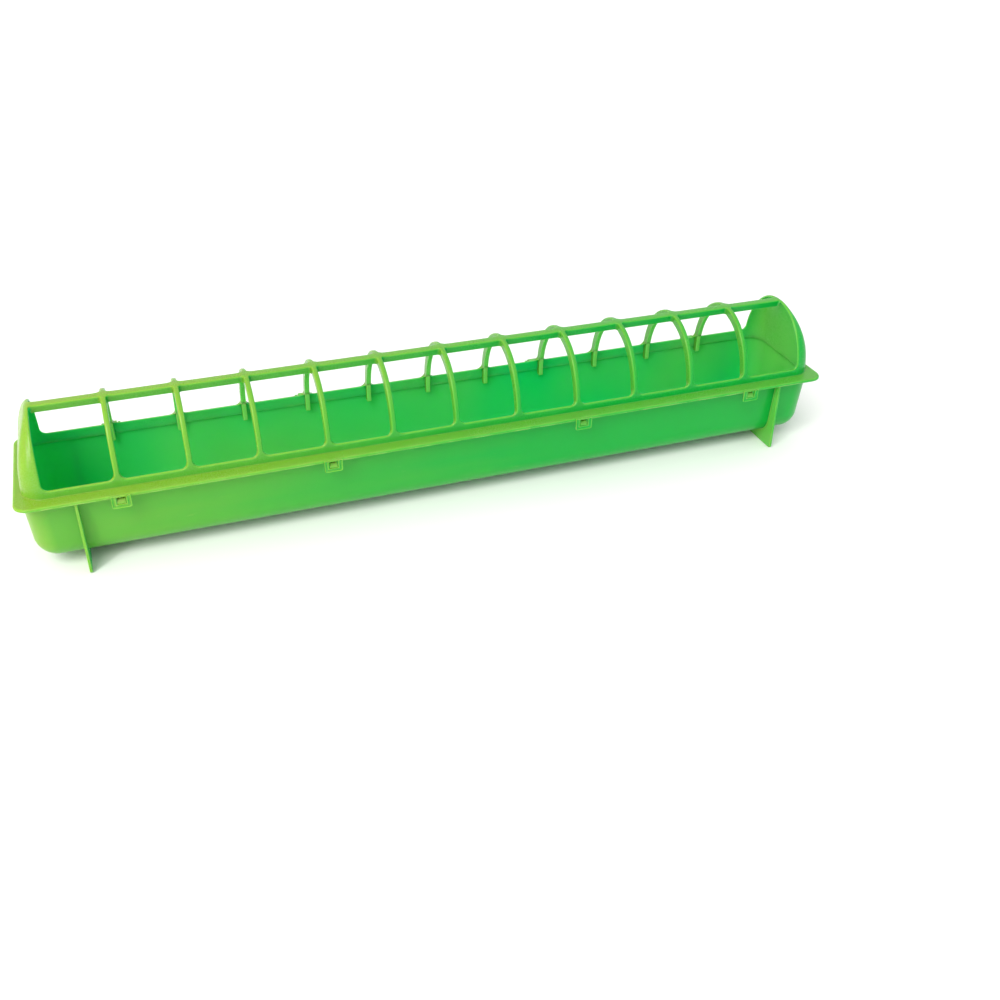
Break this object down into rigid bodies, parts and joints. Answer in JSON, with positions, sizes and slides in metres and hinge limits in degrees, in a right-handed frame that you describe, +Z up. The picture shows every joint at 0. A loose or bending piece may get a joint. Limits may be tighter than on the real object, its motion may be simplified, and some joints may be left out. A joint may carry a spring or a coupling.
{
  "type": "poultry trough feeder",
  "caption": "Long lime green plastic trough feeder for poultry, with a hinged arched grille cover, snap latches along the front rim and cross-plate feet.",
  "frame": {"origin": "middle of the outline on the ground under the feet", "axes": "+X along the trough, +Y to the hinged back rim, +Z up; the latches are on the -Y side"},
  "size_m": [1, 0.1792, 0.18],
  "materials": {
    "cover_plastic": "glossy injection-moulded polypropylene, lime green, slightly translucent",
    "trough_plastic": "glossy injection-moulded polypropylene, lime green, slightly translucent",
    "foot_plastic": "glossy injection-moulded polypropylene, lime green"
  },
  "bodies": {
    "trough_body": {"trough": "trough_plastic", "left_foot": "foot_plastic", "right_foot": "foot_plastic", "latch_nose_1": "trough_plastic", "latch_nose_2": "trough_plastic", "latch_nose_3": "trough_plastic", "latch_nose_4": "trough_plastic", "hinge_pin_1": "trough_plastic", "hinge_pin_2": "trough_plastic", "hinge_pin_3": "trough_plastic", "hinge_pin_4": "trough_plastic"},
    "cover_body": {"front_rail": "cover_plastic", "rear_rail": "cover_plastic", "front_rim": "cover_plastic", "rear_rim": "cover_plastic", "left_end_wall": "cover_plastic", "right_end_wall": "cover_plastic", "ridge_bar": "cover_plastic", "front_rib_01": "cover_plastic", "rear_rib_01": "cover_plastic", "front_rib_02": "cover_plastic", "rear_rib_02": "cover_plastic", "front_rib_03": "cover_plastic", "rear_rib_03": "cover_plastic", "front_rib_04": "cover_plastic", "rear_rib_04": "cover_plastic", "front_rib_05": "cover_plastic", "rear_rib_05": "cover_plastic", "front_rib_06": "cover_plastic", "rear_rib_06": "cover_plastic", "front_rib_07": "cover_plastic", "rear_rib_07": "cover_plastic", "front_rib_08": "cover_plastic", "rear_rib_08": "cover_plastic", "front_rib_09": "cover_plastic", "rear_rib_09": "cover_plastic", "front_rib_10": "cover_plastic", "rear_rib_10": "cover_plastic", "front_rib_11": "cover_plastic", "rear_rib_11": "cover_plastic", "hinge_hook_1": "cover_plastic", "hinge_hook_2": "cover_plastic", "hinge_hook_3": "cover_plastic", "hinge_hook_4": "cover_plastic"},
    "latch_body_1": {"latch_tab_1": "cover_plastic"},
    "latch_body_2": {"latch_tab_2": "cover_plastic"},
    "latch_body_3": {"latch_tab_3": "cover_plastic"},
    "latch_body_4": {"latch_tab_4": "cover_plastic"}
  },
  "joints": [
    {"name": "cover_hinge", "type": "hinge", "parent": "trough_body", "child": "cover_body", "pos_m": [0, 0.08525, 0.0935], "axis": [-1, 0, 0], "range_deg": [0, 100], "deforming": ["latch_tab_1", "latch_tab_2", "latch_tab_3", "latch_tab_4"]},
    {"name": "latch_flex_1", "type": "hinge", "parent": "cover_body", "child": "latch_body_1", "pos_m": [-0.39, -0.08845, 0.0977], "axis": [-1, 0, 0], "range_deg": [0, 12], "stiffness_Nm_per_rad": 0.2},
    {"name": "latch_flex_2", "type": "hinge", "parent": "cover_body", "child": "latch_body_2", "pos_m": [-0.156, -0.08845, 0.0977], "axis": [-1, 0, 0], "range_deg": [0, 12], "stiffness_Nm_per_rad": 0.2},
    {"name": "latch_flex_3", "type": "hinge", "parent": "cover_body", "child": "latch_body_3", "pos_m": [0.156, -0.08845, 0.0977], "axis": [-1, 0, 0], "range_deg": [0, 12], "stiffness_Nm_per_rad": 0.2},
    {"name": "latch_flex_4", "type": "hinge", "parent": "cover_body", "child": "latch_body_4", "pos_m": [0.39, -0.08845, 0.0977], "axis": [-1, 0, 0], "range_deg": [0, 12], "stiffness_Nm_per_rad": 0.2}
  ]
}
